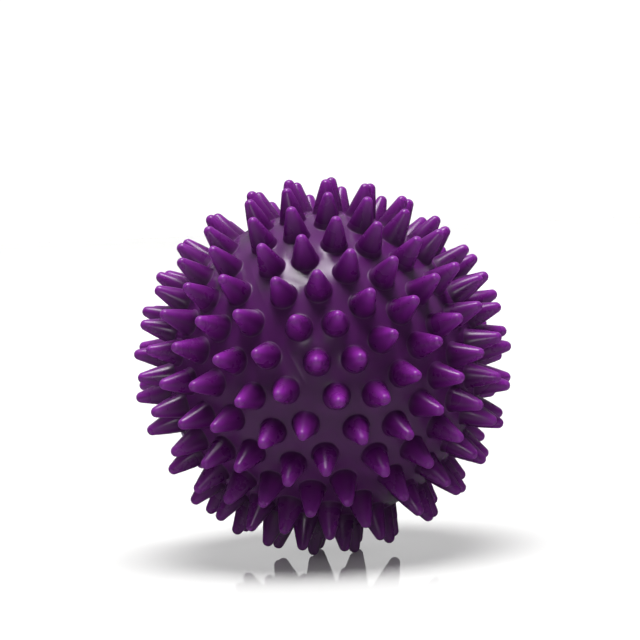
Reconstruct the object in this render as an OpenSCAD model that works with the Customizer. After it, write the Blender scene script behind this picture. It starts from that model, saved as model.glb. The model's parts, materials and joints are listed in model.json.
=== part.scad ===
// Spiky massage ball: a hollow soft moulding with rows of solid blunt spikes and a needle valve.
//
// The ball is moulded in two halves about a parting plane. In the moulding frame the parting plane
// is z = 0 and the two poles are at +Z and -Z. Side a is the half towards +Z and has seven rows of
// spikes and a pole spike. Side b, towards -Z, has six rows: the valve takes the place of the rest.
// The finished part lies at rest: it is turned so that three neighbouring spikes of side b stand on
// a level surface. The origin is the ball's centre and +Z is up.

/* [Ball] */
// Diameter over the spike tips
overall_d = 90; // [84:1:120]
// Thickness of the hollow wall
wall_t = 2.8; // [2:0.1:4]
// Height of the raised line that the mould leaves around the parting plane
parting_rise = 0.15; // [0.1:0.05:0.3]
// Width of the parting line
parting_w = 0.5; // [0.3:0.1:1]

/* [Spikes] */
// Height of a spike above the wall
spike_h = 8.2; // [6:0.1:10]
// Diameter of a spike where it meets the wall
spike_root_d = 6.4; // [5:0.1:6.6]
// Diameter of the round tip
spike_tip_d = 2.6; // [2:0.1:3.4]
// Angle between neighbouring spikes along a row, in degrees of arc
spike_spacing = 14; // [13.8:0.1:15]
// Angle between the two rows beside the parting plane, in degrees
parting_gap = 14.4; // [13:0.2:16]
// Turn of side b about the pole axis against side a, in degrees
side_twist = 121; // [0:1:359]

/* [Rest] */
// Direction in plan that side a's pole leans towards, in degrees from +X
pole_turn = -7.2; // [-180:0.1:180]

/* [Valve] */
// Outer diameter of the valve body
valve_body_d = 10; // [9:0.5:11]
// Diameter of the plug's stem
plug_stem_d = 5.6; // [5:0.1:6]
// Diameter of the plug's head
plug_head_d = 8.8; // [8:0.1:9.4]
// Thickness of the plug's head
plug_head_t = 1.2; // [1:0.1:1.6]
// Length of the plug's stem
plug_stem_l = 13; // [11:0.5:14]
// Diameter of the pilot hole for the pump needle
needle_d = 2; // [1.6:0.1:2.2]
// Depth of the pilot hole, from the plug's outer face
needle_l = 9; // [6:0.5:10]

/* [Hidden] */
$fn = 96;

BALL_COLOUR = [0.47, 0.12, 0.60];
VALVE_COLOUR = [0.38, 0.09, 0.50];
PLUG_COLOUR = [0.80, 0.72, 0.86];

// How far a cut runs on past what it cuts
OVERCUT = 1;

// Radii from the ball's centre
outer_r = overall_d / 2;
skin_r = outer_r - spike_h;
cavity_r = skin_r - wall_t;

// A spike's profile: a round tip, and a straight side that runs down to the wall. The side would be
// tangent to the tip at side_lean above the tip's middle. It ends TIP_TRIM degrees higher, and the
// tip is round only above that, so that the spike is convex all over.
TIP_TRIM = 6;
tip_r = spike_tip_d / 2;
tip_z = outer_r - tip_r;
root_r = spike_root_d / 2;
root_z = sqrt(skin_r * skin_r - root_r * root_r);
side_l = norm([root_r, tip_z - root_z]);
side_lean = atan2(root_r, tip_z - root_z) - asin(tip_r / side_l);
tip_cut = side_lean + TIP_TRIM;
shoulder_r = tip_r * cos(tip_cut);
shoulder_z = tip_z + tip_r * sin(tip_cut);

// Rows of spikes: 1 is beside the parting plane and 7 is beside side a's pole, which is a little
// closer to row 7 than the rows are to each other
ROWS = 7;
POLE_STEP = 0.9;
row_pitch = (90 - parting_gap / 2) / (ROWS - 1 + POLE_STEP);
// Rows of side a that start half a spacing along. On side b it is the other rows.
HALF_STARTS = [0, 0, 1, 1, 1, 1, 0];
SIDE_A = 1;
SIDE_B = -1;

function row_lat(row) = parting_gap / 2 + (row - 1) * row_pitch;
function row_count(row) = round(360 * cos(row_lat(row)) / spike_spacing);
function row_start(side, row) =
    side == SIDE_A ? HALF_STARTS[row - 1] / 2 : (1 - HALF_STARTS[row - 1]) / 2;
function spike_az(side, row, i) =
    (side == SIDE_B ? side_twist : 0) + (i + row_start(side, row)) * 360 / row_count(row);
function direction(lat, az) = [cos(lat) * cos(az), cos(lat) * sin(az), sin(lat)];
function spike_axis(side, row, i) = direction(side * row_lat(row), spike_az(side, row, i));
function unit(v) = v / norm(v);

// The rest pose. The plane through three neighbouring tips of side b is turned to face down.
tip_1 = spike_axis(SIDE_B, 2, 2);
tip_2 = spike_axis(SIDE_B, 3, 3);
tip_3 = spike_axis(SIDE_B, 3, 2);
facet = unit(cross(tip_2 - tip_1, tip_3 - tip_1));
up = facet * tip_1 > 0 ? -facet : facet;
// The level direction that the pole leans towards, and the level direction square to it
pole = [0, 0, 1];
lean = unit(pole - (pole * up) * up);
across = cross(up, lean);
REST = [lean, across, up];

// The valve is on side b's pole, and its heights are measured from the ball's centre outwards.
// The collar inside the ball holds the valve body, and a flat land around it carries the plug's head.
COLLAR_T = 3;
COLLAR_L = 11;
LAND_W = 1.5;
land_r = valve_body_d / 2 + LAND_W;
land_z = sqrt(skin_r * skin_r - land_r * land_r);
collar_r = valve_body_d / 2 + COLLAR_T;
collar_z = land_z - COLLAR_L;
// The lip that holds the valve body from inside the ball: its thickness and how far it stands out
LIP_T = 1.6;
LIP_W = 1.4;
// The plug's stem, with its clearance on the radius in the valve body, its ribs and its tapered end
FIT_GAP = 0.05;
RIB_COUNT = 3;
RIB_W = 1;
RIB_RISE = 0.25;
TAPER_L = 1.2;
stem_r = plug_stem_d / 2;
core_r = stem_r - RIB_RISE;
taper_r = core_r - RIB_RISE - TAPER_L / 2;
rib_step = plug_stem_l / (RIB_COUNT + 1);

// Turns the moulding frame into the rest pose
module at_rest() {
    rotate([0, 0, pole_turn])
        multmatrix(REST)
            children();
}

// Places what is built along +Z on side b's pole
module at_valve() {
    at_rest()
        mirror([0, 0, 1])
            children();
}

// Half of a spike's section. The flat foot lies just inside the round of the wall.
module spike_profile() {
    polygon([
        [0, root_z],
        [root_r, root_z],
        [shoulder_r, shoulder_z],
        [0, shoulder_z]
    ]);
    intersection() {
        translate([0, tip_z])
            circle(r = tip_r);
        translate([0, shoulder_z])
            square(tip_r);
    }
}

// One solid spike on the +Z axis
module spike() {
    rotate_extrude($fn = 48)
        spike_profile();
}

// One row of spikes, parallel to the parting plane
module spike_row(side, row) {
    color(BALL_COLOUR)
        at_rest()
            for (i = [0 : row_count(row) - 1])
                rotate([0, 90 - side * row_lat(row), spike_az(side, row, i)])
                    spike();
}

// The single spike at side a's pole
module spike_pole_a() {
    color(BALL_COLOUR)
        at_rest()
            spike();
}

// The hollow wall, with the parting line outside it and the valve's collar inside it
module skin_wall() {
    color(BALL_COLOUR)
        difference() {
            union() {
                difference() {
                    sphere(r = skin_r);
                    sphere(r = cavity_r);
                }
                at_rest()
                    parting_line();
                at_valve()
                    translate([0, 0, collar_z])
                        cylinder(r = collar_r, h = COLLAR_L - wall_t / 2);
            }
            at_valve()
                translate([0, 0, collar_z - OVERCUT])
                    cylinder(d = valve_body_d, h = outer_r);
            at_valve()
                translate([0, 0, land_z])
                    cylinder(r = land_r, h = outer_r);
        }
}

// A low raised band around the parting plane
module parting_line() {
    difference() {
        translate([0, 0, -parting_w / 2])
            cylinder(r = skin_r + parting_rise, h = parting_w);
        translate([0, 0, -parting_w])
            cylinder(r = skin_r - wall_t / 2, h = 2 * parting_w);
    }
}

// The valve body: a bush in the collar, with a lip that holds it from inside the ball
module valve_body() {
    color(VALVE_COLOUR)
        at_valve()
            difference() {
                union() {
                    translate([0, 0, collar_z])
                        cylinder(d = valve_body_d, h = land_z - collar_z);
                    translate([0, 0, collar_z - LIP_T])
                        cylinder(r = valve_body_d / 2 + LIP_W, h = LIP_T);
                }
                translate([0, 0, collar_z - LIP_T - OVERCUT])
                    cylinder(r = stem_r + FIT_GAP, h = outer_r);
            }
}

// The valve plug: a flat head, a ribbed stem and a pilot hole for the pump needle
module valve_plug() {
    color(PLUG_COLOUR)
        at_valve()
            difference() {
                plug_solid();
                translate([0, 0, land_z + plug_head_t - needle_l])
                    cylinder(d = needle_d, h = needle_l + OVERCUT);
            }
}

// The valve plug before its hole is made
module plug_solid() {
    translate([0, 0, land_z])
        cylinder(d = plug_head_d, h = plug_head_t);
    translate([0, 0, land_z - plug_stem_l])
        cylinder(r = core_r, h = plug_stem_l);
    for (k = [1 : RIB_COUNT])
        translate([0, 0, land_z - k * rib_step - RIB_W / 2])
            cylinder(r = stem_r, h = RIB_W);
    translate([0, 0, land_z - plug_stem_l - TAPER_L])
        cylinder(r1 = taper_r, r2 = core_r, h = TAPER_L);
}

skin_wall();
spike_row(SIDE_A, 1);  // spike_row_a1
spike_row(SIDE_A, 2);  // spike_row_a2
spike_row(SIDE_A, 3);  // spike_row_a3
spike_row(SIDE_A, 4);  // spike_row_a4
spike_row(SIDE_A, 5);  // spike_row_a5
spike_row(SIDE_A, 6);  // spike_row_a6
spike_row(SIDE_A, 7);  // spike_row_a7
spike_pole_a();
spike_row(SIDE_B, 1);  // spike_row_b1
spike_row(SIDE_B, 2);  // spike_row_b2
spike_row(SIDE_B, 3);  // spike_row_b3
spike_row(SIDE_B, 4);  // spike_row_b4
spike_row(SIDE_B, 5);  // spike_row_b5
spike_row(SIDE_B, 6);  // spike_row_b6
valve_body();
valve_plug();
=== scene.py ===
"""Looks of the spiky massage ball: one seamless soft moulding, its valve, and a studio set.

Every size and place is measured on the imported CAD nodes, in metres. The ball's centre is the origin.
"""
import json
import math
import random

import bmesh
import bpy
from mathutils import Matrix, Vector
from mathutils.geometry import delaunay_2d_cdt


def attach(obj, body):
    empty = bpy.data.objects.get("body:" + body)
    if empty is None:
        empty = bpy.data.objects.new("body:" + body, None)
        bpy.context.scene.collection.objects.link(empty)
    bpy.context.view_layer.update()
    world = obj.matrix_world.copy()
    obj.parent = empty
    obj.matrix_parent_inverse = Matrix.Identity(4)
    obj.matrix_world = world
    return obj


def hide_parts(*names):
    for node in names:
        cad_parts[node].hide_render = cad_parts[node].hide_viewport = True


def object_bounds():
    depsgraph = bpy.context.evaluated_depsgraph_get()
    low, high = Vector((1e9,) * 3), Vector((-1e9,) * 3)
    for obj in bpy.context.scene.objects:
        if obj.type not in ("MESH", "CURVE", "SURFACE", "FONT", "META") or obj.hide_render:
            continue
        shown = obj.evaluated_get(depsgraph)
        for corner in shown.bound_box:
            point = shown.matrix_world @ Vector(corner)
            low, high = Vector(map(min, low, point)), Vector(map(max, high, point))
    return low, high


MM = 0.001
SEED = 7

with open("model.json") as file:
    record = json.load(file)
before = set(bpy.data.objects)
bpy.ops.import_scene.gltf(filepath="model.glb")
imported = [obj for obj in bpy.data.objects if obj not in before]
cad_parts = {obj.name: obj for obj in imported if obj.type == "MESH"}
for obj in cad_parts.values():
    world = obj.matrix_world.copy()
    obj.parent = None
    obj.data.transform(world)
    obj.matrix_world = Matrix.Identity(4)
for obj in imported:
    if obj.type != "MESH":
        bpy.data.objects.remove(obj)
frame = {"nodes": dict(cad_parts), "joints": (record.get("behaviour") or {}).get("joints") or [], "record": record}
cad_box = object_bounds()
random.seed(SEED)


# --- What the CAD says -----------------------------------------------------------------------

WELD = 0.0005 * MM      # corners closer than this are one corner
NEAR = 0.1 * MM         # a corner this close to a face's height lies on that face
# A spike's tip is measured on corners this far off its axis or more, and less deep than this
TIP_OFF_AXIS = 0.3 * MM
TIP_DEPTH = 0.8 * MM
SPIKE_NODES = sorted(n for n in frame["nodes"] if n.startswith("spike_"))
VALVE_DIR = Vector(frame["joints"][0]["axis"]).normalized()
NEEDLE_HOLE = next(m for m in frame["record"]["mounts"] if m["name"] == "pump_needle_hole")["dims"]


def solids_of(node):
    """The corners of each separate solid in a CAD node."""
    bm = bmesh.new()
    bm.from_mesh(frame["nodes"][node].data)
    bmesh.ops.remove_doubles(bm, verts=bm.verts, dist=WELD)
    found = []
    seen = set()
    for start in bm.verts:
        if start in seen:
            continue
        seen.add(start)
        queue = [start]
        solid = []
        while queue:
            v = queue.pop()
            solid.append(v.co.copy())
            for e in v.link_edges:
                other = e.other_vert(v)
                if other not in seen:
                    seen.add(other)
                    queue.append(other)
        found.append(solid)
    bm.free()
    return found


def axis_of(solid):
    """The unit vector along a spike: it is round, so its axis goes through its corners' mean."""
    return sum(solid, Vector()).normalized()


def polar(points, axis):
    """Each point as (distance from the axis, height along it)."""
    return [((p - axis * p.dot(axis)).length, p.dot(axis)) for p in points]


def measure_spike():
    """Foot radius, foot height, tip radius and apex height of a spike."""
    solid = solids_of("spike_pole_a")[0]
    corners = polar(solid, axis_of(solid))
    apex = max(z for r, z in corners)
    foot_z = min(z for r, z in corners)
    foot_r = max(r for r, z in corners)
    # Each corner of the round tip gives the tip's radius, and the middle one is taken
    drops = [(r, apex - z) for r, z in corners if r > TIP_OFF_AXIS and apex - z < TIP_DEPTH]
    radii = sorted((r * r + drop * drop) / (2 * drop) for r, drop in drops)
    return foot_r, foot_z, radii[len(radii) // 2], apex


def measure_valve():
    """The valve's sizes, along its own axis from the ball's centre."""
    body = polar(solids_of("valve_body")[0], VALVE_DIR)
    plug = polar(solids_of("valve_plug")[0], VALVE_DIR)
    wall = polar(solids_of("skin_wall")[0], VALVE_DIR)
    land_z = max(z for r, z in body)
    top = [r for r, z in body if z > land_z - NEAR]
    hole_r = max(top)
    # The wall's corners near the valve, where the collar is: not those on the ball's far side
    collar = [(r, z) for r, z in wall if z > 0 and r < 2 * hole_r]
    collar_z = min(z for r, z in collar)
    head_z = max(z for r, z in plug)
    return {
        "land_z": land_z,
        "land_r": math.sqrt(SKIN_R ** 2 - land_z ** 2),
        "hole_r": hole_r,
        "seat_r": min(top),
        "body_end": min(z for r, z in body),
        "lip_r": max(r for r, z in body),
        "collar_z": collar_z,
        "collar_r": max(r for r, z in collar if z < collar_z + NEAR),
        "cavity_r": min(math.hypot(r, z) for r, z in wall if z < 0),
        "head_z": head_z,
        "head_r": max(r for r, z in plug),
        "stem_r": max(r for r, z in plug if z < land_z - 2 * NEAR),
        "stem_end": min(z for r, z in plug),
        "bore_r": NEEDLE_HOLE["r_mm"] * MM,
        "bore_end": head_z - NEEDLE_HOLE["length_mm"] * MM,
    }


FOOT_R, FOOT_Z, TIP_R, OUTER_R = measure_spike()
SKIN_R = math.hypot(FOOT_R, FOOT_Z)
VALVE = measure_valve()
AXES = [axis_of(solid) for node in SPIKE_NODES for solid in solids_of(node)]


# --- Mesh helpers ----------------------------------------------------------------------------

NEARLY_UPRIGHT = 0.9    # an axis whose z is past this, up or down, is crossed with X and not Z


def basis(axis):
    """Two unit vectors square to an axis and to each other."""
    side = Vector((0, 0, 1)) if abs(axis.z) < NEARLY_UPRIGHT else Vector((1, 0, 0))
    u = axis.cross(side).normalized()
    return u, axis.cross(u)


def spoke(u, v, angle):
    """A unit vector in the plane of u and v."""
    return u * math.cos(angle) + v * math.sin(angle)


def ring(bm, axis, r, z, count):
    """A ring of corners round an axis."""
    u, v = basis(axis)
    step = 2 * math.pi / count
    return [bm.verts.new(axis * z + spoke(u, v, k * step) * r) for k in range(count)]


def band(bm, low, high):
    """Faces between two rings. They face outwards where high is further along the axis."""
    n = len(low)
    for k in range(n):
        bm.faces.new((low[k], low[(k + 1) % n], high[(k + 1) % n], high[k]))


def cap(bm, last, point):
    """A fan from a ring to one point."""
    tip = bm.verts.new(point)
    n = len(last)
    for k in range(n):
        bm.faces.new((last[k], last[(k + 1) % n], tip))
    return tip


def arc(cr, cz, radius, start, end, steps):
    """Points of an arc in a section, as (r, z). Angles are in radians from the r axis."""
    angles = [start + (end - start) * k / steps for k in range(steps + 1)]
    return [(cr + radius * math.cos(t), cz + radius * math.sin(t)) for t in angles]


def to_object(bm, name):
    """The mesh as a smooth object in the scene."""
    bmesh.ops.recalc_face_normals(bm, faces=bm.faces)
    mesh = bpy.data.meshes.new(name)
    bm.to_mesh(mesh)
    bm.free()
    for p in mesh.polygons:
        p.use_smooth = True
    obj = bpy.data.objects.new(name, mesh)
    bpy.context.scene.collection.objects.link(obj)
    return obj


# --- The moulding ----------------------------------------------------------------------------

SPIKE_SEGMENTS = 24
VALVE_SEGMENTS = 64
FILLET_R = 0.35 * MM
LEAST_FILLET_R = 0.1 * MM
FILLET_REACH = 0.8      # a fillet reaches out from the foot by less than this share of its radius
WEB = 0.03 * MM         # the least skin left between two spikes' fillets
FILLET_STEPS = 4
TIP_STEPS = 5
# Where the points along a spike's side are, as shares of its length
SIDE_STOPS = (0.03, 0.1, 0.22, 0.4, 0.6, 0.8)
BELLY = 0.010           # how far a spike's side swells, as a share of its length
TILT = math.radians(0.9)
LENGTH_SPREAD = 0.012   # the most that a spike is shorter by, as a share of its length
SKIN_STEP = 1.5 * MM
FOOT_CLEARANCE = 0.35 * MM
VALVE_CLEARANCE = 0.9 * MM
PARTING_RISE = 0.012 * MM
PARTING_W = 0.5 * MM
PARTING_STEP = 0.9 * MM
# Across the parting line: the offset in half widths, and the share of the rise
PARTING_PROFILE = ((-1, 0), (-0.5, 0.7), (0, 1), (0.5, 0.7), (1, 0))
PARTING_STAGGER = 0.25
HOLLOW_EDGE = 0.25 * MM
HOLLOW_STEPS = 40
HOLLOW_START = 0.02     # the hollow's rings are spaced from this angle past the collar, in radians
MAP_TOLERANCE = 1e-7    # points of the flat map closer than this are one point
HEIGHT_LAYER = "spike_height"


def spike_section(fillet):
    """A spike's section from the skin to just below its apex, as (r, z)."""
    tip_z = OUTER_R - TIP_R
    lean = math.atan2(FOOT_R, tip_z - FOOT_Z)
    lean -= math.asin(TIP_R / math.hypot(FOOT_R, tip_z - FOOT_Z))
    # The side's outward normal and its distance from the centre of the ball
    n = Vector((math.cos(lean), math.sin(lean)))
    d = n.dot(Vector((FOOT_R, FOOT_Z)))
    # The fillet's centre is as far from the side as from the skin
    along = math.sqrt((SKIN_R + fillet) ** 2 - (d + fillet) ** 2)
    centre = n * (d + fillet) + Vector((-n.y, n.x)) * along
    from_skin = math.atan2(-centre.y, -centre.x)
    from_side = math.atan2(-n.y, -n.x)
    if from_skin < from_side:
        from_skin += 2 * math.pi
    section = arc(centre.x, centre.y, fillet, from_skin, from_side, FILLET_STEPS)
    if section[-1][1] < section[0][1]:
        section.reverse()
    start = Vector(section[-1])
    shoulder = Vector((TIP_R * n.x, tip_z + TIP_R * n.y))
    side = shoulder - start
    for t in SIDE_STOPS:
        swell = math.sin(math.pi * t) ** 2 * BELLY * side.length
        p = start + side * t + n * swell
        section.append((p.x, p.y))
    section += arc(0, tip_z, TIP_R, lean, math.pi / 2, TIP_STEPS)[:-1]
    return section


def nearest_angle(i):
    """The angle to the spike's nearest neighbour."""
    here = AXES[i]
    return math.acos(max(here.dot(other) for k, other in enumerate(AXES) if k != i))


def add_spike(bm, layer, i):
    """One spike, open at its foot. Returns the ring where it meets the skin."""
    axis = AXES[i]
    room = SKIN_R * math.sin(nearest_angle(i) / 2) - WEB
    fillet = min(FILLET_R, max(LEAST_FILLET_R, (room - FOOT_R) / FILLET_REACH))
    u, v = basis(axis)
    length = OUTER_R - SKIN_R
    shorten = random.uniform(-LENGTH_SPREAD, 0)
    spin = random.uniform(0, 2 * math.pi)
    lean_to = spoke(u, v, spin) * math.tan(random.uniform(0, TILT))
    rings = [ring(bm, axis, r, z, SPIKE_SEGMENTS) for r, z in spike_section(fillet)]
    for low, high in zip(rings, rings[1:]):
        band(bm, low, high)
    apex = cap(bm, rings[-1], axis * OUTER_R)
    for vert in [apex] + [w for some in rings for w in some]:
        share = max(0.0, min(1.0, (vert.co.dot(axis) - FOOT_Z) / length))
        vert[layer] = share
        ease = share * share * (3 - 2 * share)
        vert.co += (lean_to + axis * shorten) * length * ease
    return rings[0]


def parting_points():
    """Points across the raised parting line, all the way round."""
    u, v = basis(VALVE_DIR)
    around = round(2 * math.pi * SKIN_R / PARTING_STEP)
    points = []
    for offset, rise in PARTING_PROFILE:
        off = offset * PARTING_W / 2
        flat = math.sqrt(SKIN_R ** 2 - off ** 2)
        for k in range(around):
            # The rows between the middle and the edges are staggered
            t = 2 * math.pi * (k + PARTING_STAGGER * (offset % 1)) / around
            p = spoke(u, v, t) * flat + VALVE_DIR * off
            points.append(p.normalized() * (SKIN_R + rise * PARTING_RISE))
    return points


def skin_points():
    """Evenly spread points on the bare skin, clear of the spikes, the valve and the parting line."""
    count = round(4 * math.pi * SKIN_R ** 2 / SKIN_STEP ** 2)
    golden = math.pi * (3 - math.sqrt(5))
    clear_foot = math.cos((FOOT_R + 2 * FILLET_R + FOOT_CLEARANCE) / SKIN_R)
    clear_valve = math.cos((VALVE["land_r"] + VALVE_CLEARANCE) / SKIN_R)
    points = parting_points()
    for k in range(count):
        z = 1 - 2 * (k + 0.5) / count
        flat = math.sqrt(1 - z * z)
        p = Vector((flat * math.cos(golden * k), flat * math.sin(golden * k), z))
        from_equator = p.dot(VALVE_DIR)
        if from_equator > clear_valve or abs(from_equator) * SKIN_R < PARTING_W:
            continue
        if max(p.dot(a) for a in AXES) > clear_foot:
            continue
        points.append(p * SKIN_R)
    return points


def flat_map(p):
    """A point of the sphere on a plane, so that circles stay circles. The valve is furthest out.

    A loop that runs anticlockwise seen from outside the ball does so on the plane too.
    """
    u, v = basis(VALVE_DIR)
    d = p.normalized()
    scale = 1 / (1 - d.dot(VALVE_DIR))
    return Vector((d.dot(v) * scale, d.dot(u) * scale))


def add_skin(bm, feet, land):
    """Joins the spikes' feet and the valve's land with triangles of skin.

    On the plane the land is the outermost loop. A triangle that is in no other loop is skin.
    """
    corners = []
    loops = []
    for loop in [land[::-1]] + feet:
        loops.append(list(range(len(corners), len(corners) + len(loop))))
        corners += loop
    corners += [bm.verts.new(p) for p in skin_points()]
    flat = [flat_map(w.co) for w in corners]
    _, _, triangles, sources, _, inside = delaunay_2d_cdt(flat, [], loops, 0, MAP_TOLERANCE)
    for triangle, in_loops in zip(triangles, inside):
        if list(in_loops) == [0]:
            bm.faces.new([corners[sources[k][0]] for k in triangle])


def add_inside(bm, land):
    """The flat round the valve, the collar's hole and the hollow inside."""
    v = VALVE
    hole, collar, cavity = v["hole_r"], v["collar_r"], v["cavity_r"]
    edge = HOLLOW_EDGE
    collar_angle = math.asin(collar / cavity)
    section = [
        (v["land_r"] - edge, v["land_z"]),
        (hole + edge, v["land_z"]),
        (hole, v["land_z"] - edge),
        (hole, v["collar_z"]),
        (collar - edge, v["collar_z"]),
        (collar, v["collar_z"] + edge),
        (collar, cavity * math.cos(collar_angle) - edge),
    ]
    first = collar_angle + HOLLOW_START
    for k in range(1, HOLLOW_STEPS):
        t = first + (math.pi - first) * k / HOLLOW_STEPS
        section.append((cavity * math.sin(t), cavity * math.cos(t)))
    last = land
    for r, z in section:
        this = ring(bm, VALVE_DIR, r, z, len(land))
        band(bm, last, this)
        last = this
    cap(bm, last, VALVE_DIR * -cavity)


def make_moulding():
    """Skin and spikes as one closed mesh."""
    bm = bmesh.new()
    layer = bm.verts.layers.float.new(HEIGHT_LAYER)
    land = ring(bm, VALVE_DIR, VALVE["land_r"], VALVE["land_z"], VALVE_SEGMENTS)
    feet = [add_spike(bm, layer, i) for i in range(len(AXES))]
    add_skin(bm, feet, land)
    add_inside(bm, land)
    return to_object(bm, "ball_moulding")


moulding = make_moulding()
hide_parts("skin_wall", *SPIKE_NODES)
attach(moulding, "ball")


# --- The valve -------------------------------------------------------------------------------

BUSH_EDGE = 0.2 * MM
BUSH_EDGE_STEPS = 4
PLUG_EDGE = 0.15 * MM
PLUG_EDGE_STEPS = 3
RIB_COUNT = 3
RIB_RISE = 0.25 * MM
RIB_TOP = 0.3 * MM      # half the width of a rib's top, and of its foot
RIB_FOOT = 0.7 * MM
PLAIN_END = 1.2 * MM    # the ribs are spread evenly over the stem, all but this much at its end
TAPER_IN = 1.1 * MM     # how much smaller the stem's radius is at its end than at a rib's top
CROWN_W = 0.8 * MM      # the sloping rim of the plug's head: its width and height
CROWN_H = 0.35 * MM
DISH_W = 1.2 * MM       # the dish round the pilot hole: the widths of its rim and foot, its depth
DISH_FOOT = 0.2 * MM
DISH_H = 0.35 * MM
HOLE_LIP = 0.7 * MM     # how far below the head's top the pilot hole is down to its own radius
AXIS_R = 0.02 * MM      # the solid part of the plug's section stops this far from the axis
SIDE_SHARE = 1 / 2.2    # the most of a side that one rounded corner takes


def lathe(name, section):
    """A closed piece turned round the valve's axis from a closed section of (r, z) points."""
    bm = bmesh.new()
    rings = [ring(bm, VALVE_DIR, r, z, VALVE_SEGMENTS) for r, z in section]
    for low, high in zip(rings, rings[1:] + rings[:1]):
        band(bm, low, high)
    return to_object(bm, name)


def rounded(corners, radius, steps):
    """A closed section with its corners rounded."""
    out = []
    n = len(corners)
    for k in range(n):
        a, b, c = (Vector(corners[(k + j) % n]) for j in (-1, 0, 1))
        reach = min(radius, (a - b).length * SIDE_SHARE, (c - b).length * SIDE_SHARE)
        p = b + (a - b).normalized() * reach
        q = b + (c - b).normalized() * reach
        for j in range(steps + 1):
            t = j / steps
            w = p.lerp(b, t).lerp(b.lerp(q, t), t)
            out.append((w.x, w.y))
    return out


def make_valve_body():
    """The bush in the collar, with its lip inside the ball."""
    v = VALVE
    corners = [
        (v["seat_r"], v["body_end"]),
        (v["lip_r"], v["body_end"]),
        (v["lip_r"], v["collar_z"]),
        (v["hole_r"], v["collar_z"]),
        (v["hole_r"], v["land_z"]),
        (v["seat_r"], v["land_z"]),
    ]
    return lathe("valve_bush", rounded(corners, BUSH_EDGE, BUSH_EDGE_STEPS))


def make_valve_plug():
    """The plug: a crowned head with a dish round its pilot hole, and a ribbed stem."""
    v = VALVE
    core = v["stem_r"] - RIB_RISE
    rib_step = (v["land_z"] - v["stem_end"] - PLAIN_END) / (RIB_COUNT + 1)
    corners = [(v["stem_r"] - TAPER_IN, v["stem_end"])]
    for k in range(RIB_COUNT, 0, -1):
        z = v["land_z"] - k * rib_step
        corners += [
            (core, z - RIB_FOOT),
            (v["stem_r"], z - RIB_TOP),
            (v["stem_r"], z + RIB_TOP),
            (core, z + RIB_FOOT),
        ]
    corners += [
        (core, v["land_z"]),
        (v["head_r"], v["land_z"]),
        (v["head_r"], v["head_z"] - CROWN_H),
        (v["head_r"] - CROWN_W, v["head_z"]),
        (v["bore_r"] + DISH_W, v["head_z"]),
        (v["bore_r"] + DISH_FOOT, v["head_z"] - DISH_H),
        (v["bore_r"], v["head_z"] - HOLE_LIP),
        (v["bore_r"], v["bore_end"]),
        (AXIS_R, v["bore_end"]),
        (AXIS_R, v["stem_end"]),
    ]
    return lathe("needle_plug", rounded(corners, PLUG_EDGE, PLUG_EDGE_STEPS))


bush = make_valve_body()
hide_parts("valve_body")
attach(bush, "ball")
plug = make_valve_plug()
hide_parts("valve_plug")
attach(plug, "plug")


# --- Materials -------------------------------------------------------------------------------

# The colour sockets of a Mix node
MIX_A = 6
MIX_B = 7
MIX_OUT = 2


class Nodes:
    """A short way to add and join the nodes of one material or world."""

    def __init__(self, owner):
        owner.use_nodes = True
        self.owner = owner
        self.tree = owner.node_tree

    def add(self, kind, **values):
        """A new node. A value sets a property, or the input of that name, with _ for a space."""
        node = self.tree.nodes.new(kind)
        for key, value in values.items():
            if hasattr(node, key):
                setattr(node, key, value)
            else:
                node.inputs[key.replace("_", " ")].default_value = value
        return node

    def join(self, output, socket):
        """Links an output to a node's input."""
        self.tree.links.new(output, socket)

    def shader(self):
        """The material's own shader."""
        return self.tree.nodes["Principled BSDF"]

    def object_coords(self):
        """Coordinates fixed to the piece, in metres."""
        return self.add("ShaderNodeTexCoord").outputs["Object"]

    def noise(self, coords, scale, detail, roughness=0.5):
        """A noise pattern from 0 to 1."""
        node = self.add("ShaderNodeTexNoise", Scale=scale, Detail=detail, Roughness=roughness)
        self.join(coords, node.inputs["Vector"])
        return node.outputs["Fac"]

    def ramp(self, value, stops):
        """A value as a colour, from stops of (value, colour)."""
        node = self.add("ShaderNodeValToRGB")
        elements = node.color_ramp.elements
        elements.remove(elements[1])
        elements[0].position = stops[0][0]
        elements[0].color = (*stops[0][1], 1)
        for at, colour in stops[1:]:
            elements.new(at).color = (*colour, 1)
        self.join(value, node.inputs["Fac"])
        return node.outputs["Color"]

    def rescale(self, value, from_min, from_max, to_min, to_max, curve="LINEAR"):
        """A value taken from one range to another, and held to the second one's ends."""
        node = self.add(
            "ShaderNodeMapRange", interpolation_type=curve,
            From_Min=from_min, From_Max=from_max, To_Min=to_min, To_Max=to_max
        )
        self.join(value, node.inputs["Value"])
        return node.outputs["Result"]

    def calculate(self, operation, *terms):
        """A sum or product of outputs."""
        node = self.add("ShaderNodeMath", operation=operation)
        for term, socket in zip(terms, node.inputs):
            self.join(term, socket)
        return node.outputs["Value"]

    def bump(self, height, strength, distance):
        """Fine relief on the material's shader."""
        node = self.add("ShaderNodeBump", Strength=strength, Distance=distance)
        self.join(height, node.inputs["Height"])
        self.join(node.outputs["Normal"], self.shader().inputs["Normal"])


def new_material(name):
    """A new material's nodes."""
    return Nodes(bpy.data.materials.new(name))


# The part of a noise pattern's range that goes from one colour, or roughness, to the other
COLOUR_RANGE = (0.35, 0.65)
ROUGHNESS_RANGE = (0.3, 0.7)


def coloured_noise(n, coords, shades, scale, detail):
    """A noise pattern between two colours."""
    return n.ramp(n.noise(coords, scale, detail), tuple(zip(COLOUR_RANGE, shades)))


def rough_noise(n, pattern, limits):
    """A noise pattern between two roughnesses."""
    return n.rescale(pattern, *ROUGHNESS_RANGE, *limits)


SKIN_PURPLE = (0.092, 0.0127, 0.1165)
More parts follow.
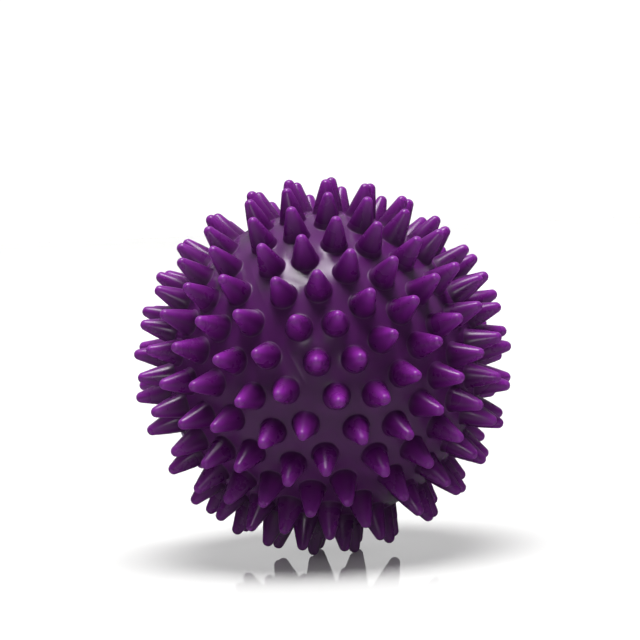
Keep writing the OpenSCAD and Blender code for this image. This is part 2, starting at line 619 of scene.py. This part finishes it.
# A spike's colour by its share of the way from foot to tip: painted shade darkens the foot, and painted light
# together with the thin tip's own translucency brightens the tip
SPIKE_PURPLES_SHADED_FOOT_LIT_TIP = (
    (0.05, (0.070, 0.0050, 0.088)),
    (0.30, (0.104, 0.0065, 0.134)),
    (0.60, (0.142, 0.0092, 0.184)),
    (0.85, (0.212, 0.0170, 0.280)),
    (1.00, (0.225, 0.0230, 0.300)),
)
# The colour is multiplied by a cloudy pattern between these two
CLOUD = ((0.86, 0.84, 0.86), (1.0, 1.0, 1.0))
SMUDGE_ROUGHNESS = (0.21, 0.27)
# Where the roughness changes, as shares of a spike's height, and by how much
FILLET_END = 0.008
FILLET_ROUGHNESS = 0.40
GLOSSY_SIDE = (0.05, 0.18)
SIDE_ROUGHNESS = -0.36
SUBSURFACE_RADIUS = (1.0, 0.35, 1.0)


def soft_pvc():
    """Glossy purple soft PVC: greyish in the skin, darker at a spike's foot as painted shade, brighter at its tip
    as painted light and as the thin tip's translucency.
    """
    n = new_material("soft_pvc")
    shader = n.shader()
    coords = n.object_coords()
    height = n.add("ShaderNodeAttribute", attribute_name=HEIGHT_LAYER).outputs["Fac"]
    colour = n.add("ShaderNodeMix", data_type="RGBA", blend_type="MULTIPLY")
    colour.inputs["Factor"].default_value = 1.0
    # Painted shade at the spikes' feet and painted light towards their tips, set by the height along each spike
    n.join(n.ramp(height, ((0.0, SKIN_PURPLE), *SPIKE_PURPLES_SHADED_FOOT_LIT_TIP)), colour.inputs[MIX_A])
    n.join(coloured_noise(n, coords, CLOUD, scale=110, detail=3), colour.inputs[MIX_B])
    n.join(colour.outputs[MIX_OUT], shader.inputs["Base Color"])

    # The gloss: smudged all over, dull in the fillets at the spikes' feet, and clear above them
    pattern = n.noise(coords, scale=140, detail=4, roughness=0.6)
    smudge = rough_noise(n, pattern, SMUDGE_ROUGHNESS)
    fillet = n.rescale(height, 0.0, FILLET_END, 0.0, FILLET_ROUGHNESS)
    side = n.rescale(height, *GLOSSY_SIDE, 0.0, SIDE_ROUGHNESS)
    roughness = n.calculate("ADD", n.calculate("ADD", fillet, side), smudge)
    n.join(roughness, shader.inputs["Roughness"])
    peel = n.noise(coords, scale=900, detail=3, roughness=0.55)
    n.bump(peel, strength=0.07, distance=0.06 * MM)

    shader.inputs["IOR"].default_value = 1.45
    shader.inputs["Subsurface Weight"].default_value = 0.3
    shader.inputs["Subsurface Radius"].default_value = SUBSURFACE_RADIUS
    shader.inputs["Subsurface Scale"].default_value = 0.8 * MM
    return n.owner


def soft_rubber(name, shades, roughness):
    """Soft rubber with faint cloudiness and a fine moulded grain."""
    n = new_material(name)
    shader = n.shader()
    coords = n.object_coords()
    colour = coloured_noise(n, coords, shades, scale=300, detail=3)
    n.join(colour, shader.inputs["Base Color"])
    cloud = n.noise(coords, scale=500, detail=3)
    n.join(rough_noise(n, cloud, roughness), shader.inputs["Roughness"])
    n.bump(n.noise(coords, scale=2500, detail=2), strength=0.25, distance=0.04 * MM)
    return n.owner


BUSH_SHADES = ((0.035, 0.009, 0.055), (0.05, 0.013, 0.075))
PLUG_SHADES = ((0.42, 0.33, 0.5), (0.5, 0.41, 0.58))
moulding.data.materials.append(soft_pvc())
bush.data.materials.append(soft_rubber("bush_rubber", BUSH_SHADES, (0.38, 0.5)))
plug.data.materials.append(soft_rubber("plug_rubber", PLUG_SHADES, (0.35, 0.48)))


# --- The floor -------------------------------------------------------------------------------

FLOOR_SIZE = 6.0
FLOOR_CELLS = 12
FLOOR_SHADES = ((0.66, 0.66, 0.655), (0.68, 0.68, 0.675))
# The sheet is glossy out to the first distance from the ball's middle, and plain from the second
POLISHED_R = (0.035, 0.095)
# For the light that it sends back to the ball, the sheet is darker by this share near the ball: a painted shadow
# of the ball
SHADED_SHARE = 0.42
SHADED_R = (0.07, 0.17)


def floor_mesh():
    """A flat grid under the ball."""
    bm = bmesh.new()
    z = cad_box[0].z
    marks = [FLOOR_SIZE * (i / FLOOR_CELLS - 0.5) for i in range(FLOOR_CELLS + 1)]
    grid = [[bm.verts.new((x, y, z)) for x in marks] for y in marks]
    for near, far in zip(grid, grid[1:]):
        for i in range(FLOOR_CELLS):
            bm.faces.new((near[i], near[i + 1], far[i + 1], far[i]))
    return to_object(bm, "floor")


def pale_sheet():
    """Matt and nearly white, with a gloss coat under the ball and a painted shadow round the ball in the light
    that it bounces back.
    """
    n = new_material("pale_sheet")
    shader = n.shader()
    coords = n.object_coords()
    length = n.add("ShaderNodeVectorMath", operation="LENGTH")
    n.join(coords, length.inputs[0])
    distance = length.outputs["Value"]

    # Painted shadow: near the ball the sheet is darker for diffuse rays only, standing in for the ball's shade on
    # it
    tone = n.add("ShaderNodeMix", data_type="RGBA", blend_type="MIX")
    bounced = n.add("ShaderNodeLightPath").outputs["Is Diffuse Ray"]
    shaded = n.rescale(distance, *SHADED_R, SHADED_SHARE, 0.0)
    n.join(n.calculate("MULTIPLY", bounced, shaded), tone.inputs["Factor"])
    n.join(coloured_noise(n, coords, FLOOR_SHADES, scale=4, detail=2), tone.inputs[MIX_A])
    tone.inputs[MIX_B].default_value = (0, 0, 0, 1)
    n.join(tone.outputs[MIX_OUT], shader.inputs["Base Color"])

    coat = n.rescale(distance, *POLISHED_R, 1.0, 0.0, "SMOOTHSTEP")
    n.join(coat, shader.inputs["Coat Weight"])
    shader.inputs["Coat Roughness"].default_value = 0.03
    shader.inputs["Specular IOR Level"].default_value = 0.0
    shader.inputs["Roughness"].default_value = 0.9
    return n.owner


floor = floor_mesh()
floor.data.materials.append(pale_sheet())
floor.visible_glossy = False


# --- The light -------------------------------------------------------------------------------

# The room's brightness by height: 0 is straight down, 0.5 level and 1 straight up
ROOM_BY_HEIGHT = (
    (0.0, 0.1),
    (0.08, 0.35),
    (0.2, 0.45),
    (0.32, 0.36),
    (0.42, 0.14),
    (0.48, 0.05),
    (0.8, 0.06),
    (1.0, 0.2),
)
ROOM_BEHIND = 0.42      # what is added behind the ball and above it
SHARE_BEHIND = 0.3      # the share of the brightness by height that is left behind the ball
# Where each of these starts and is complete, in the direction's own Y or Z from -1 to 1
BEHIND_Y = (-0.6, 1)
ABOVE_Z = (0.1, 0.5)
IN_FRONT_Y = (0.4, -0.3)
BACKDROP = 1.1
SKY_ANGLE = math.radians(36)
SKY_TILT = math.radians(5)
SKY_ON_FLOOR = 4.0
SKY_ON_BALL = 5.1
PANEL_COUNT = 4
PANEL_DISTANCE = 1.5
PANEL_HEIGHT = 0.5


def make_room():
    """White as the backdrop. For the ball it is a dim room: pale floor, dark front, lighter behind."""
    world = bpy.data.worlds.new("room")
    bpy.context.scene.world = world
    n = Nodes(world)
    room = n.tree.nodes["Background"]
    room.inputs["Color"].default_value = (1, 1, 1, 1)
    split = n.add("ShaderNodeSeparateXYZ")
    n.join(n.add("ShaderNodeTexCoord").outputs["Generated"], split.inputs["Vector"])
    z = split.outputs["Z"]
    y = split.outputs["Y"]
    greys = [(at, (grey, grey, grey)) for at, grey in ROOM_BY_HEIGHT]
    by_height = n.ramp(n.rescale(z, -1, 1, 0, 1), greys)
    behind = n.rescale(y, *BEHIND_Y, 0, ROOM_BEHIND, "SMOOTHSTEP")
    above = n.rescale(z, *ABOVE_Z, 0, 1)
    in_front = n.rescale(y, *IN_FRONT_Y, SHARE_BEHIND, 1, "SMOOTHSTEP")
    nearer = n.calculate("MULTIPLY", by_height, in_front)
    n.join(n.calculate("MULTIPLY_ADD", behind, above, nearer), room.inputs["Strength"])

    backdrop = n.add("ShaderNodeBackground", Color=(1, 1, 1, 1), Strength=BACKDROP)
    mix = n.add("ShaderNodeMixShader")
    n.join(n.add("ShaderNodeLightPath").outputs["Is Camera Ray"], mix.inputs["Fac"])
    n.join(room.outputs["Background"], mix.inputs[1])
    n.join(backdrop.outputs["Background"], mix.inputs[2])
    n.join(mix.outputs["Shader"], n.tree.nodes["World Output"].inputs["Surface"])


def group(name, *pieces):
    """Pieces that a lamp can be kept to."""
    collection = bpy.data.collections.new(name)
    for piece in pieces:
        collection.objects.link(piece)
    return collection


def sky_light(name, energy, receivers):
    """A wide soft light from above and slightly in front, for some of the scene's pieces."""
    lamp = bpy.data.objects.new(name, bpy.data.lights.new(name, "SUN"))
    lamp.data.energy = energy
    lamp.data.angle = SKY_ANGLE
    lamp.rotation_euler = (SKY_TILT, 0, 0)
    lamp.visible_glossy = False
    lamp.light_linking.receiver_collection = receivers
    bpy.context.scene.collection.objects.link(lamp)


def softbox(name, place, aim, size, radiance, receivers):
    """A rectangular lamp that points at a place, for some of the scene's pieces."""
    width, depth = size
    data = bpy.data.lights.new(name, "AREA")
    data.shape = "RECTANGLE"
    data.size = width
    data.size_y = depth
    data.energy = radiance * math.pi * width * depth
    lamp = bpy.data.objects.new(name, data)
    turn = (Vector(place) - Vector(aim)).to_track_quat("Z", "Y").to_matrix().to_4x4()
    lamp.matrix_world = Matrix.Translation(place) @ turn
    lamp.light_linking.receiver_collection = receivers
    bpy.context.scene.collection.objects.link(lamp)
    return lamp


def make_lights():
    """Two skies, panels round the floor, and two softboxes that only show as highlights."""
    floor_only = group("floor_only", floor)
    ball_only = group("ball_only", moulding, bush, plug)
    sky_light("sky_on_floor", SKY_ON_FLOOR, floor_only)
    sky_light("sky_on_ball", SKY_ON_BALL, ball_only)
    top = softbox(
        "top_softbox", place=(-0.085, -0.10, 0.60), aim=(0, 0, 0.02),
        size=(0.30, 0.24), radiance=15, receivers=ball_only
    )
    top.visible_diffuse = False
    middle = Vector((0, 0, PANEL_HEIGHT))
    for k in range(PANEL_COUNT):
        turn = 2 * math.pi * k / PANEL_COUNT
        outwards = Vector((math.sin(turn), math.cos(turn), 0)) * PANEL_DISTANCE
        softbox(
            f"panel_{k}", place=middle + outwards, aim=middle,
            size=(3.0, 1.1), radiance=0.93, receivers=floor_only
        )
    front = softbox(
        "front_lamp", place=(-0.07, -0.70, 0.10), aim=(0, 0, 0),
        size=(0.09, 0.09), radiance=20, receivers=ball_only
    )
    front.visible_diffuse = False


make_room()
make_lights()


# --- The camera ------------------------------------------------------------------------------

# The viewer stands well back with a long lens, a little above the ball, with the camera's right
# side held slightly low. It aims just above and left of the ball's centre.
CAMERA_DISTANCE = 0.649
CAMERA_RISE = math.radians(4.31)
CAMERA_ROLL = math.radians(-2.53)
CAMERA_LENS = 153.5
SENSOR_W = 36
CLIP = (0.01, 50)
AIM_UP = 10.9 * MM
AIM_LEFT = 0.7 * MM


def make_camera():
    """The camera, on the ball's -Y side."""
    back = Vector((0, -math.cos(CAMERA_RISE), math.sin(CAMERA_RISE)))
    right = Vector((1, 0, 0))
    up = back.cross(right)
    level = Matrix((right, up, back)).transposed().to_4x4()
    data = bpy.data.cameras.new("camera")
    data.lens = CAMERA_LENS
    data.sensor_width = SENSOR_W
    data.clip_start, data.clip_end = CLIP
    camera = bpy.data.objects.new("camera", data)
    camera.matrix_world = (
        Matrix.Translation(back * CAMERA_DISTANCE)
        @ level
        @ Matrix.Rotation(CAMERA_ROLL, 4, "Z")
        @ Matrix.Rotation(math.atan(AIM_LEFT / CAMERA_DISTANCE), 4, "Y")
        @ Matrix.Rotation(math.atan(AIM_UP / CAMERA_DISTANCE), 4, "X")
    )
    bpy.context.scene.collection.objects.link(camera)
    bpy.context.scene.camera = camera


make_camera()
bpy.context.scene.view_settings.view_transform = "Standard"
